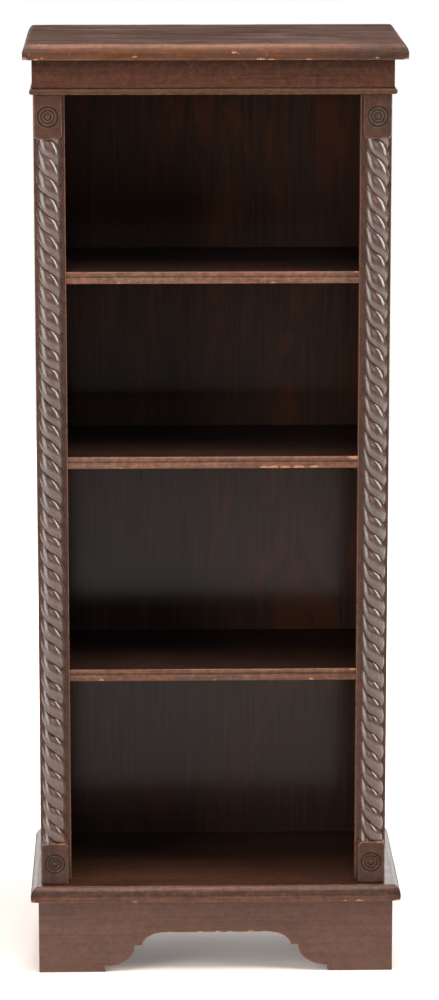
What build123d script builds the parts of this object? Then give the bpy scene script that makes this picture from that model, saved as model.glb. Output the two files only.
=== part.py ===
from build123d import *
import os

# A narrow open bookcase in solid and veneered wood, in millimetres, +Z up, front towards -Y.
# The origin is on the floor, in the middle of the footprint.

# ---- overall sizes ----
height = 1163.0
depth = 250.0
plinth_board_width = 462.0
cornice_width = 460.0
rear = depth / 2

# ---- the case: two sides with a flat stile glued to the front of each ----
case_width = 431.0
case_shift = -3.0            # the case stands a little left of the middle of its top and plinth
case_front = -depth / 2 + 30.0
side_thickness = 16.0
stile_width = 37.8
stile_thickness = 18.0
housing_depth = 5.0
back_panel_front = case_front + 198.0
back_panel_thickness = 8.0
back_rebate = 8.0

# ---- plinth ----
plinth_board_thickness = 19.0
plinth_board_top = 113.5
plinth_width = 443.0
plinth_front = case_front - 20.0
plinth_rear = rear - 2.0
plinth_wall = 15.0
plinth_rail_height = 45.0
corner_block = 26.0
corner_block_height = 70.0

# ---- the arch cut out of the plinth front, measured from its own middle ----
arch_shift = 1.0
arch_height = 51.5
arch_foot_half = 139.5
arch_step = 7.5
arch_ovolo_half = 102.0
arch_shoulder = 34.5
arch_cove_half = 93.0
arch_flat_half = 64.0

# ---- top: frieze, bead and moulded board ----
top_board_thickness = 19.0
cornice_front = case_front - 28.5
top_board_under = height - top_board_thickness
frieze_width = 433.4
frieze_height = 35.0
frieze_shift = -2.5
frieze_depth = 15.2
bead_width = 440.0
bead_height = 7.5
bead_depth = 18.5
bead_top = top_board_under - frieze_height
bead_bottom = bead_top - bead_height
top_rail_height = 20.0

# ---- moulded edges: how far each curve goes in and down ----
cornice_inset = 7.3
cornice_drop = 10.4
plinth_inset = 9.1
plinth_drop = 11.3

# ---- shelves, lowest first ----
shelf_thickness = 14.5
shelf_setback = 1.5
shelf_tops = {"lower": 387.0, "middle": 656.0, "upper": 885.0}
shelf_round = 2.2
shelf_groove = 1.2
shelf_groove_drop = 9.0

# ---- split-turned rope pilasters ----
block_width = 33.2
block_margin = 1.4
block_relief = 14.5
block_height = 53.5
rope_radius = 14.4
rope_valley = 11.2
rope_starts = 3
rope_steps = 6
rope_rises = 38
ring_radii = (4.2, 8.4, 12.3)
ring_groove = 0.9

# ---- fastenings ----
pin_diameter = 1.6
pin_length = 14.0
apron_pin_inset = 4.0
apron_pin_heights = (21.5, 50.5, 77.0)
nail_diameter = 3.4
nail_length = 24.0
apron_nail_inset = 7.4
apron_nail_height = 30.5
frieze_nail_inset = 6.0
frieze_nail_rise = 14.0
panel_pin_rows = 7
panel_pin_first = 60.0
panel_pin_spacing = 150.0
rail_pin_spacing = 120.0
screw_shank = 4.0
screw_head = 8.0
screw_head_height = 3.5
top_screw_spacing = 150.0
top_screw_bite = 12.0
base_screw_length = 50.0
base_screw_places = (-40.0, 70.0)

# ---- glue blocks under the top board ----
glue_block = 20.0
glue_block_length = 45.0
front_block_spread = 90.0
side_block_places = (-30.0, 50.0)

# ---- derived places ----
opening_width = case_width - 2 * stile_width
inside_width = case_width - 2 * side_thickness
side_bottom = plinth_board_top
side_height = top_board_under - plinth_board_top
stile_rear = case_front + stile_thickness
plinth_height = plinth_board_top - plinth_board_thickness
rope_bottom = plinth_board_top + block_height
rope_top = bead_bottom - block_height
rope_rise = (rope_top - rope_bottom) / rope_rises
back_panel_rear = back_panel_front + back_panel_thickness
sides = {"left": -1, "right": 1}

os.makedirs("parts", exist_ok=True)


def finish(part, label):
    """Name a finished piece and write it out."""
    part.label = label
    export_step(part, f"parts/{label}.step")


def outline(*points):
    """A straight-sided face in the sketch being drawn, at its own coordinates."""
    Polygon(*points, align=None)


def front_section(plane, front, bottom, top, inset, drop):
    """The front-to-back section of a board with a convex moulding on its front edge."""
    with BuildSketch(plane) as section:
        with BuildLine():
            Polyline((front + inset, top), (rear, top), (rear, bottom), (front, bottom), (front, top - drop))
            EllipticalCenterArc((front + inset, top - drop), inset, drop, 90, arc_size=90)
        make_face()
    return section.sketch


def width_section(plane, half, bottom, top, inset, drop):
    """The side-to-side section of the same board, with the moulding on both ends."""
    with BuildSketch(plane) as section:
        with BuildLine():
            Polyline((-half, top - drop), (-half, bottom), (half, bottom), (half, top - drop))
            EllipticalCenterArc((half - inset, top - drop), inset, drop, 0, arc_size=90)
            Line((half - inset, top), (-half + inset, top))
            EllipticalCenterArc((-half + inset, top - drop), inset, drop, 90, arc_size=90)
        make_face()
    return section.sketch


def moulded_board(width, front, bottom, top, inset, drop):
    """A board with the same moulding along its front and both ends, mitred at the corners."""
    half = width / 2
    extrude(front_section(Plane.YZ.offset(-half), front, bottom, top, inset, drop), amount=width)
    ends = width_section(Plane.XZ.offset(-rear), half, bottom, top, inset, drop)
    extrude(ends, amount=rear - front, mode=Mode.INTERSECT)


def wood_screws(places, head_at, length):
    """Countersunk screws standing upright with their heads at the bottom."""
    upright = (Align.CENTER, Align.CENTER, Align.MIN)
    with Locations(*[(x, y, head_at) for x, y in places]):
        Cone(screw_head / 2, screw_shank / 2, screw_head_height, align=upright)
        Cylinder(screw_shank / 2, length, align=upright)


# ---- fastenings first, because their holes are cut with them ----

# Panel pins through each mitre of the plinth, with their heads on the front face.
with BuildPart() as apron_pins:
    for sign in sides.values():
        for pin_height in apron_pin_heights:
            with BuildSketch(Plane.XZ.offset(-plinth_front)):
                with Locations((sign * (plinth_width / 2 - apron_pin_inset), pin_height)):
                    Circle(pin_diameter / 2)
            extrude(amount=-pin_length)
finish(apron_pins.part, "apron_pins")

# One heavier nail through each mitre, set in and stopped with wax.
with BuildPart() as apron_nails:
    for sign in sides.values():
        with BuildSketch(Plane.XZ.offset(-plinth_front)):
            with Locations((sign * (plinth_width / 2 - apron_nail_inset), apron_nail_height)):
                Circle(nail_diameter / 2)
        extrude(amount=-nail_length)
finish(apron_nails.part, "apron_nails")

# One nail near each end of the frieze, into the head of the stile.
with BuildPart() as frieze_nails:
    for sign in sides.values():
        with BuildSketch(Plane.XZ.offset(-(case_front - frieze_depth))):
            nail_x = frieze_shift + sign * (frieze_width / 2 - frieze_nail_inset)
            with Locations((nail_x, bead_top + frieze_nail_rise)):
                Circle(nail_diameter / 2)
        extrude(amount=-nail_length)
finish(frieze_nails.part, "frieze_nails")

# Pins that hold the back panel in its rebates and to the top rail.
with BuildPart() as back_panel_pins:
    pin_x = inside_width / 2 + back_rebate / 2
    pin_rows = [side_bottom + panel_pin_first + row * panel_pin_spacing for row in range(panel_pin_rows)]
    side_pins = [(case_shift + sign * pin_x, z) for sign in sides.values() for z in pin_rows]
    rail_pin_z = top_board_under - top_rail_height / 2
    rail_pins = [(case_shift + step * rail_pin_spacing, rail_pin_z) for step in (-1, 0, 1)]
    with BuildSketch(Plane.XZ.offset(-back_panel_rear)):
        with Locations(*side_pins, *rail_pins):
            Circle(pin_diameter / 2)
    extrude(amount=pin_length)
finish(back_panel_pins.part, "back_panel_pins")

# Screws up through the rear top rail into the top board.
with BuildPart() as top_screws:
    screw_y = back_panel_front - glue_block / 2
    wood_screws([(case_shift + step * top_screw_spacing, screw_y) for step in (-1, 0, 1)],
                top_board_under - top_rail_height, top_rail_height + top_screw_bite)
finish(top_screws.part, "top_screws")

# Screws up through the plinth board into the bottom ends of the sides.
with BuildPart() as base_screws:
    side_middle = (case_width - side_thickness) / 2
    wood_screws([(case_shift + sign * side_middle, y) for sign in sides.values() for y in base_screw_places],
                plinth_height, base_screw_length)
finish(base_screws.part, "base_screws")


# ---- plinth ----

# The apron: a board with mitred ends and a moulded arch that leaves two bracket feet.
with BuildPart() as apron_front:
    half = plinth_width / 2
    with BuildSketch(Plane.XY):
        outline((-half, plinth_front), (half, plinth_front),
                (half - plinth_wall, plinth_front + plinth_wall),
                (-half + plinth_wall, plinth_front + plinth_wall))
    extrude(amount=plinth_height)
    for sign in sides.values():
        with BuildSketch(Plane.XZ.offset(-plinth_front)):
            with Locations((arch_shift, 0)):
                with BuildLine():
                    Polyline((0, 0), (sign * arch_foot_half, 0), (sign * arch_foot_half, arch_step))
                    EllipticalCenterArc(
                        (sign * arch_foot_half, arch_shoulder), arch_foot_half - arch_ovolo_half,
                        arch_shoulder - arch_step, 270, arc_size=-sign * 90)
                    Line((sign * arch_ovolo_half, arch_shoulder), (sign * arch_cove_half, arch_shoulder))
                    EllipticalCenterArc(
                        (sign * arch_flat_half, arch_shoulder), arch_cove_half - arch_flat_half,
                        arch_height - arch_shoulder, 90 - sign * 90, arc_size=sign * 90)
                    Polyline((sign * arch_flat_half, arch_height), (0, arch_height), (0, 0))
                make_face()
        extrude(amount=-plinth_wall, mode=Mode.SUBTRACT)
    add(apron_pins.part, mode=Mode.SUBTRACT)
    add(apron_nails.part, mode=Mode.SUBTRACT)
finish(apron_front.part, "apron_front")

# The plinth's two ends, mitred to the apron.
for side, sign in sides.items():
    with BuildPart() as plinth_side:
        outer = sign * plinth_width / 2
        inner = sign * (plinth_width / 2 - plinth_wall)
        with BuildSketch(Plane.XY):
            outline((outer, plinth_front), (outer, plinth_rear), (inner, plinth_rear),
                    (inner, plinth_front + plinth_wall))
        extrude(amount=plinth_height)
        add(apron_pins.part, mode=Mode.SUBTRACT)
        add(apron_nails.part, mode=Mode.SUBTRACT)
    finish(plinth_side.part, f"plinth_side_{side}")

# A rail between the ends at the back, held clear of the floor.
with BuildPart() as plinth_back_rail:
    with BuildSketch(Plane.XZ.offset(-plinth_rear)):
        with Locations((0, plinth_height - plinth_rail_height / 2)):
            Rectangle(plinth_width - 2 * plinth_wall, plinth_rail_height)
    extrude(amount=plinth_wall)
finish(plinth_back_rail.part, "plinth_back_rail")

# Four triangular blocks glued into the inner corners of the plinth.
with BuildPart() as plinth_corner_blocks:
    inner_x = plinth_width / 2 - plinth_wall
    front_y = plinth_front + plinth_wall
    rear_y = plinth_rear - plinth_wall
    with BuildSketch(Plane.XY.offset(plinth_height)):
        for sign in sides.values():
            outline((sign * inner_x, front_y), (sign * (inner_x - corner_block), front_y),
                    (sign * inner_x, front_y + corner_block))
            outline((sign * inner_x, rear_y), (sign * (inner_x - corner_block), rear_y),
                    (sign * inner_x, rear_y - corner_block))
    extrude(amount=-corner_block_height)
finish(plinth_corner_blocks.part, "plinth_corner_blocks")

# The moulded board on top of the plinth is also the floor of the lowest compartment.
with BuildPart() as plinth_board:
    moulded_board(plinth_board_width, -depth / 2, plinth_height, plinth_board_top, plinth_inset, plinth_drop)
    add(base_screws.part, mode=Mode.SUBTRACT)
finish(plinth_board.part, "plinth_board")


# ---- case ----

# Each side is housed for the three shelves and rebated for the back panel.
for side, sign in sides.items():
    with BuildPart() as side_panel:
        outer = case_shift + sign * case_width / 2
        inner = outer - sign * side_thickness
        with BuildSketch(Plane.XY.offset(side_bottom)):
            outline((outer, stile_rear), (outer, rear), (inner + sign * back_rebate, rear),
                    (inner + sign * back_rebate, back_panel_front), (inner, back_panel_front),
                    (inner, stile_rear))
        extrude(amount=side_height)
        for shelf_top in shelf_tops.values():
            with BuildSketch(Plane.XY.offset(shelf_top - shelf_thickness)):
                outline((inner, stile_rear), (inner + sign * housing_depth, stile_rear),
                        (inner + sign * housing_depth, back_panel_front), (inner, back_panel_front))
            extrude(amount=shelf_thickness, mode=Mode.SUBTRACT)
        add(base_screws.part, mode=Mode.SUBTRACT)
        add(back_panel_pins.part, mode=Mode.SUBTRACT)
    finish(side_panel.part, f"side_panel_{side}")

# A flat stile covers the front edge of each side and laps into the opening.
for side, sign in sides.items():
    with BuildPart() as stile:
        middle = case_shift + sign * (case_width - stile_width) / 2
        with BuildSketch(Plane.XZ.offset(-case_front)):
            with Locations((middle, side_bottom + side_height / 2)):
                Rectangle(stile_width, side_height)
        extrude(amount=-stile_thickness)
        add(frieze_nails.part, mode=Mode.SUBTRACT)
    finish(stile.part, f"stile_{side}")

# The head rail joins the stiles behind the frieze.
with BuildPart() as head_rail:
    with BuildSketch(Plane.XZ.offset(-case_front)):
        with Locations((case_shift, (bead_bottom + top_board_under) / 2)):
            Rectangle(opening_width, top_board_under - bead_bottom)
    extrude(amount=-stile_thickness)
finish(head_rail.part, "head_rail")

# The rear top rail lies flat under the top board, in front of the back panel.
with BuildPart() as back_top_rail:
    with BuildSketch(Plane.XY.offset(top_board_under)):
        with Locations((case_shift, back_panel_front - glue_block / 2)):
            Rectangle(inside_width, glue_block)
    extrude(amount=-top_rail_height)
    add(top_screws.part, mode=Mode.SUBTRACT)
    add(back_panel_pins.part, mode=Mode.SUBTRACT)
finish(back_top_rail.part, "back_top_rail")

# Glue blocks in the corner between the top board, the head rail and the sides.
with BuildPart() as top_glue_blocks:
    with BuildSketch(Plane.XY.offset(top_board_under)):
        block_x = (inside_width - glue_block) / 2
        for sign in sides.values():
            with Locations((case_shift + sign * front_block_spread, stile_rear + glue_block / 2)):
                Rectangle(glue_block_length, glue_block)
            with Locations(*[(case_shift + sign * block_x, y) for y in side_block_places]):
                Rectangle(glue_block, glue_block_length)
    extrude(amount=-glue_block)
finish(top_glue_blocks.part, "top_glue_blocks")

# One veneered sheet closes the back, from the plinth board to the top board.
with BuildPart() as back_panel:
    with BuildSketch(Plane.XZ.offset(-back_panel_front)):
        with Locations((case_shift, side_bottom + side_height / 2)):
            Rectangle(inside_width + 2 * back_rebate, side_height)
    extrude(amount=-back_panel_thickness)
    add(back_panel_pins.part, mode=Mode.SUBTRACT)
finish(back_panel.part, "back_panel")

# Fixed shelves: notched round the stiles, let into the sides, with a grooved and rounded front edge.
for name, shelf_top in shelf_tops.items():
    with BuildPart() as shelf:
        lip = opening_width / 2
        wing = inside_width / 2 + housing_depth
        front = case_front + shelf_setback
        with BuildSketch(Plane.XY.offset(shelf_top - shelf_thickness)):
            with Locations((case_shift, 0)):
                outline((-lip, front), (lip, front), (lip, stile_rear), (wing, stile_rear),
                        (wing, back_panel_front), (-wing, back_panel_front),
                        (-wing, stile_rear), (-lip, stile_rear))
        extrude(amount=shelf_thickness)
        front_edges = shelf.edges().filter_by(Axis.X).group_by(Axis.Y)[0]
        fillet(front_edges, shelf_round)
        with BuildSketch(Plane.YZ.offset(case_shift - lip)):
            with Locations((front, shelf_top - shelf_groove_drop)):
                RegularPolygon(shelf_groove, 4)
        extrude(amount=2 * lip, mode=Mode.SUBTRACT)
    finish(shelf.part, f"shelf_{name}")


# ---- top ----

with BuildPart() as frieze_board:
    with BuildSketch(Plane.XZ.offset(-case_front)):
        with Locations((frieze_shift, bead_top + frieze_height / 2)):
            Rectangle(frieze_width, frieze_height)
    extrude(amount=frieze_depth)
    add(frieze_nails.part, mode=Mode.SUBTRACT)
finish(frieze_board.part, "frieze_board")


def bead_section(plane, back, nose):
    """The section of the bead: flat top and bottom with a half-round nose."""
    radius = bead_height / 2
    shoulder = nose + radius if nose < back else nose - radius
    with BuildSketch(plane) as section:
        with BuildLine():
            Polyline((shoulder, bead_top), (back, bead_top), (back, bead_bottom), (shoulder, bead_bottom))
            ThreePointArc((shoulder, bead_bottom), (nose, bead_top - radius), (shoulder, bead_top))
        make_face()
    return section.sketch


# The bead runs under the frieze, across the front and back along both sides of the case.
bead_nose = case_front - bead_depth
with BuildPart() as bead_front:
    bead_end = Plane.YZ.offset(frieze_shift - bead_width / 2)
    extrude(bead_section(bead_end, case_front, bead_nose), amount=bead_width)
    for sign in sides.values():
        corner_x = frieze_shift + sign * bead_width / 2
        with BuildSketch(Plane.XY.offset(bead_bottom)):
            outline((corner_x, bead_nose), (corner_x, case_front),
                    (corner_x - sign * bead_depth, case_front))
        extrude(amount=bead_height, mode=Mode.SUBTRACT)
finish(bead_front.part, "bead_front")

for side, sign in sides.items():
    with BuildPart() as bead_side:
        nose_x = frieze_shift + sign * bead_width / 2
        case_x = case_shift + sign * case_width / 2
        back_x = nose_x - sign * bead_depth
        extrude(bead_section(Plane.XZ.offset(-rear), back_x, nose_x), amount=rear - bead_nose)
        with BuildSketch(Plane.XY.offset(bead_bottom)):
            outline((nose_x, bead_nose), (back_x, bead_nose), (back_x, case_front))
        extrude(amount=bead_height, mode=Mode.SUBTRACT)
        with BuildSketch(Plane.XY.offset(bead_bottom)):
            outline((case_x, case_front), (case_x, rear), (back_x, rear), (back_x, case_front))
        extrude(amount=bead_height, mode=Mode.SUBTRACT)
    finish(bead_side.part, f"bead_{side}")

with BuildPart() as top_board:
    moulded_board(cornice_width, cornice_front, top_board_under, height, cornice_inset, cornice_drop)
    add(top_screws.part, mode=Mode.SUBTRACT)
finish(top_board.part, "top_board")


# ---- rope pilasters ----

# One rise of the rope: a third of a turn of a three-lobed bar, cut in half along its length.
# A valley faces the front where the rise starts.
with BuildPart() as rope_unit:
    strand_turn = 360 / rope_starts
    for step in range(rope_steps + 1):
        turn = -90 - strand_turn * step / rope_steps
        with BuildSketch(Plane.XY.offset(rope_rise * step / rope_steps).rotated((0, 0, turn))):
            with BuildLine():
                for lobe in range(rope_starts):
                    valley = Vector(rope_valley, 0).rotate(Axis.Z, lobe * strand_turn)
                    crest = Vector(rope_radius, 0).rotate(Axis.Z, (lobe + 0.5) * strand_turn)
                    next_valley = Vector(rope_valley, 0).rotate(Axis.Z, (lobe + 1) * strand_turn)
                    ThreePointArc(valley, crest, next_valley)
            make_face()
    loft()
    split(bisect_by=Plane.XZ, keep=Keep.TOP)

# The pilaster at x = 0 with its flat back at y = 0: a square block at each end of the rope.
with BuildPart() as pilaster_pattern:
    with Locations(*[(0, 0, rope_bottom + rise * rope_rise) for rise in range(rope_rises)]):
        add(rope_unit.part)
    for block_bottom in (plinth_board_top, rope_top):
        with BuildSketch(Plane.XY.offset(block_bottom)):
            with Locations((0, -block_relief / 2)):
                Rectangle(block_width, block_relief)
        extrude(amount=block_height)
        roundel_height = block_bottom + block_height / 2
        with BuildSketch(Plane.YZ):
            with Locations(*[(-block_relief, roundel_height + radius) for radius in ring_radii]):
                Circle(ring_groove)
        revolve(axis=Axis((0, 0, roundel_height), (0, 1, 0)), mode=Mode.SUBTRACT)

for side, sign in sides.items():
    with BuildPart() as pilaster:
        pilaster_x = case_shift + sign * (case_width / 2 - block_margin - block_width / 2)
        with Locations((pilaster_x, case_front, 0)):
            add(pilaster_pattern.part)
    finish(pilaster.part, f"rope_pilaster_{side}")
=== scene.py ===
import math
import random

import bmesh
import bpy
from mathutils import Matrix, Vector, noise
from mathutils.geometry import tessellate_polygon


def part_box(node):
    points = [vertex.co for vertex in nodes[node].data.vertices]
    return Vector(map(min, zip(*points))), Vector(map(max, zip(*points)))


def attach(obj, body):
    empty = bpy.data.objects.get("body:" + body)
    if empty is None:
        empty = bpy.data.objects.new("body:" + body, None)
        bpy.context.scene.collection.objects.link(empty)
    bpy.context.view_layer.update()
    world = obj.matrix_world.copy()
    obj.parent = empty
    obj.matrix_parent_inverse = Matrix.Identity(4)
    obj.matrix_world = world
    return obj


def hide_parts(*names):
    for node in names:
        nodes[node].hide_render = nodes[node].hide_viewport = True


# A narrow open bookcase with rope-twist pilasters, in metres in the CAD frame: +Z up, front towards -Y.
# The mesh code below works in millimetres and is scaled when a mesh is made.

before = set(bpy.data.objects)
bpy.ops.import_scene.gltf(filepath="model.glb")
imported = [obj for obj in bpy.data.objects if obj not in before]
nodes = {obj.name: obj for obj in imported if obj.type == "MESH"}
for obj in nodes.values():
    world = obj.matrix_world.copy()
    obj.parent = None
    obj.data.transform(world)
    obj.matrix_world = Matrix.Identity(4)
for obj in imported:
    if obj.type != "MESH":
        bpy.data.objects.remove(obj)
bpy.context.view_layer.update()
MM = 0.001
# Points nearer to each other than this, in millimetres, are joined.
JOIN = 0.0005
FLOOR_RADIUS = 3.2
# A chip's reach along X is its radius over this.
CHIP_STRETCH = 0.42
chance = random.Random(7)
noise.seed_set(7)


# ---- mesh helpers

def span(node):
    """A node's lowest and highest corner in millimetres."""
    low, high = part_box(node)
    return Vector(low) / MM, Vector(high) / MM


def steps(start, end, pitch):
    """Evenly spaced values from start to end, about pitch apart."""
    count = max(1, round(abs(end - start) / pitch))
    return [start + (end - start) * i / count for i in range(count + 1)]


def ease(value):
    """A smooth step from 0 to 1."""
    value = min(1.0, max(0.0, value))
    return value * value * (3 - 2 * value)


class Skin:
    """The surface of one piece while it is built.

    Each point has four marks from 0 to 1: wear on an arris that is rubbed, grime_and_shade where dirt
    settles and where shade is painted in, bare where the finish has gone and edge on a moulding of another
    colour.
    """

    def __init__(self):
        self.points = []
        self.faces = []
        self.marks = {"wear": [], "grime_and_shade": [], "bare": [], "edge": []}

    def row(self, places, wear=0.0, grime_and_shade=0.0, edge=0.0):
        """Add a row of points and return their numbers."""
        first = len(self.points)
        for place in places:
            self.points.append(Vector(place))
            for mark, value in (("wear", wear), ("grime_and_shade", grime_and_shade), ("bare", 0.0), ("edge", edge)):
                self.marks[mark].append(value)
        return list(range(first, len(self.points)))

    def bridge(self, one, other, closed=False):
        """Fill the band between two rows of the same length."""
        count = len(one)
        for i in range(count if closed else count - 1):
            j = (i + 1) % count
            self.faces.append((one[i], one[j], other[j], other[i]))

    def bridge_all(self, rows, closed=False):
        for one, other in zip(rows, rows[1:]):
            self.bridge(one, other, closed)

    def cap(self, row):
        """Close a flat ring with triangles."""
        ring = [self.points[i].copy() for i in row]
        for corners in tessellate_polygon([ring]):
            self.faces.append(tuple(row[i] for i in corners))

    def wander(self, amount, size, seed=0.0):
        """Let the surface wander a little, as hand-planed stock does."""
        for place in self.points:
            at = place / size + Vector((seed, -seed, 2 * seed))
            place += amount * noise.noise_vector(at)

    def level(self, row, z):
        """Bring a row back to one height, so that the flat face it borders stays flat."""
        for i in row:
            self.points[i].z = z

    def chip(self, at, radius, depth, inward):
        """Knock a chip out of an arris at a point, cutting along inward."""
        at, inward = Vector(at), Vector(inward).normalized()
        for i, place in enumerate(self.points):
            away = place - at
            far = math.hypot(away.x * CHIP_STRETCH, away.y, away.z) / radius
            far *= 1 + 0.5 * noise.noise(place * 0.5)
            if far < 1:
                ragged = 0.6 + 0.8 * noise.noise(place * 0.9)
                place += inward * depth * (1 - far) * max(0.0, ragged)
                self.marks["bare"][i] = max(self.marks["bare"][i], ease(1.6 * (1 - far)))

    def keep_inside(self, low, high):
        """Bring points that have wandered out of the box back to it."""
        for place in self.points:
            for axis in range(3):
                place[axis] = min(high[axis], max(low[axis], place[axis]))


def new_object(name, data):
    thing = bpy.data.objects.new(name, data)
    bpy.context.collection.objects.link(thing)
    return thing


def make_piece(name, skin, material, *replaced, slot="mahogany", join=False, sharp=50):
    """Turn a skin into a mesh object that rides on the bookcase and stands for CAD nodes.

    join welds points that fall together. A skin without it is closed, and its faces are turned outwards.
    """
    mesh = bpy.data.meshes.new(name)
    mesh.from_pydata([p * MM for p in skin.points], [], skin.faces)
    for mark, values in skin.marks.items():
        mesh.attributes.new(mark, "FLOAT", "POINT").data.foreach_set("value", values)
    work = bmesh.new()
    work.from_mesh(mesh)
    if join:
        bmesh.ops.remove_doubles(work, verts=work.verts, dist=JOIN * MM)
        bmesh.ops.dissolve_degenerate(work, edges=work.edges, dist=JOIN * MM)
    else:
        bmesh.ops.recalc_face_normals(work, faces=work.faces)
    work.to_mesh(mesh)
    work.free()
    mesh.shade_smooth()
    mesh.set_sharp_from_angle(angle=math.radians(sharp))
    mesh.materials.append(material)
    piece = new_object(name, mesh)
    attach(piece, "root")
    if replaced:
        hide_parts(*replaced)


def round_corner(centre, radius, start, turn, count, power=2.0):
    """Points of an arc in a section, from angle start through turn, in degrees.

    A power under 2 flattens the arc towards a chamfer.
    """
    for i in range(count + 1):
        a = math.radians(start + turn * i / count)
        across, up = math.cos(a), math.sin(a)
        across = math.copysign(abs(across) ** (2 / power), across)
        up = math.copysign(abs(up) ** (2 / power), up)
        yield centre[0] + radius[0] * across, centre[1] + radius[1] * up


# ---- materials

class Nodes:
    """Short calls for building one material's node tree."""

    def __init__(self, name):
        self.material = bpy.data.materials.new(name)
        self.material.use_nodes = True
        self.tree = self.material.node_tree
        self.shader = self.tree.nodes["Principled BSDF"]
        self.place = self.add("ShaderNodeTexCoord").outputs["Object"]

    def add(self, kind, **settings):
        node = self.tree.nodes.new(kind)
        for key, value in settings.items():
            setattr(node, key, value)
        return node

    def put(self, value, socket):
        """Link an output to a socket, or set the socket to a number or colour."""
        if isinstance(value, bpy.types.NodeSocket):
            self.tree.links.new(value, socket)
        elif isinstance(value, tuple) and len(value) == 3 and socket.type == "RGBA":
            socket.default_value = (*value, 1.0)
        else:
            socket.default_value = value

    def math(self, operation, one, other=0.0, clamp=False):
        node = self.add("ShaderNodeMath", operation=operation, use_clamp=clamp)
        self.put(one, node.inputs[0])
        self.put(other, node.inputs[1])
        return node.outputs[0]

    def times(self, one, other, clamp=False):
        return self.math("MULTIPLY", one, other, clamp)

    def plus(self, one, other, clamp=False):
        return self.math("ADD", one, other, clamp)

    def moved(self, shift, stretch=(1, 1, 1), lean=0):
        """The object's own coordinates, shifted, stretched and turned about Y by lean degrees."""
        mapping = self.add("ShaderNodeMapping")
        self.put(self.place, mapping.inputs["Vector"])
        mapping.inputs["Location"].default_value = shift
        mapping.inputs["Rotation"].default_value = (0, math.radians(lean), 0)
        mapping.inputs["Scale"].default_value = stretch
        return mapping.outputs[0]

    def noise(self, scale, stretch=(1, 1, 1), detail=4.0, rough=0.55, warp=0.0, shift=(0, 0, 0), lean=0):
        """Noise from 0 to 1 with about scale features to the metre."""
        node = self.add("ShaderNodeTexNoise")
        self.put(self.moved(shift, stretch, lean), node.inputs["Vector"])
        for name, value in (("Scale", scale), ("Detail", detail), ("Roughness", rough), ("Distortion", warp)):
            node.inputs[name].default_value = value
        return node.outputs["Fac"]

    def spots(self, scale, size, shift):
        """Small round spots, 1 inside and 0 outside."""
        node = self.add("ShaderNodeTexVoronoi")
        self.put(self.moved(shift), node.inputs["Vector"])
        node.inputs["Scale"].default_value = scale
        return self.math("LESS_THAN", node.outputs["Distance"], size)

    def mark(self, name):
        return self.add("ShaderNodeAttribute", attribute_name=name).outputs["Fac"]

    def window(self, value, low, high):
        """0 below low, 1 above high and smooth between."""
        node = self.add("ShaderNodeMapRange", interpolation_type="SMOOTHSTEP")
        self.put(value, node.inputs["Value"])
        node.inputs["From Min"].default_value = low
        node.inputs["From Max"].default_value = high
        return node.outputs["Result"]

    def mix(self, amount, one, other, blend="MIX"):
        node = self.add("ShaderNodeMix", data_type="RGBA", blend_type=blend)
        self.put(amount, node.inputs[0])
        self.put(one, node.inputs[6])
        self.put(other, node.inputs[7])
        return node.outputs[2]

    def shade(self, colour, by):
        """Multiply a colour by a number or another colour."""
        return self.mix(1.0, colour, (by,) * 3 if isinstance(by, float) else by, "MULTIPLY")

    def ramp(self, value, *stops):
        """A colour ramp through (position, colour) stops."""
        node = self.add("ShaderNodeValToRGB")
        elements = node.color_ramp.elements
        while len(elements) < len(stops):
            elements.new(0.5)
        for element, (at, colour) in zip(elements, stops):
            element.position = at
            element.color = (*colour, 1.0)
        self.put(value, node.inputs["Fac"])
        return node.outputs["Color"]

    def surface(self, colour, rough):
        """Set the shader's colour and roughness."""
        self.put(colour, self.shader.inputs["Base Color"])
        self.put(rough, self.shader.inputs["Roughness"])

    def bump(self, height, distance, strength):
        """Add a height from 0 to 1 to the shader's relief, distance millimetres deep."""
        node = self.add("ShaderNodeBump")
        self.put(height, node.inputs["Height"])
        node.inputs["Distance"].default_value = distance * MM
        node.inputs["Strength"].default_value = strength
        if self.shader.inputs["Normal"].is_linked:
            self.put(self.shader.inputs["Normal"].links[0].from_socket, node.inputs["Normal"])
        self.put(node.outputs[0], self.shader.inputs["Normal"])


ALONG = {"x": (0.035, 1.0, 1.0), "y": (1.0, 0.035, 1.0), "z": (1.0, 1.0, 0.035)}

RAW_WOOD = (0.34, 0.155, 0.08)
PALE_CHIP = (0.36, 0.18, 0.092)


def tint(colour, amount):
    return tuple(min(1.0, c * amount) for c in colour)


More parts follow.
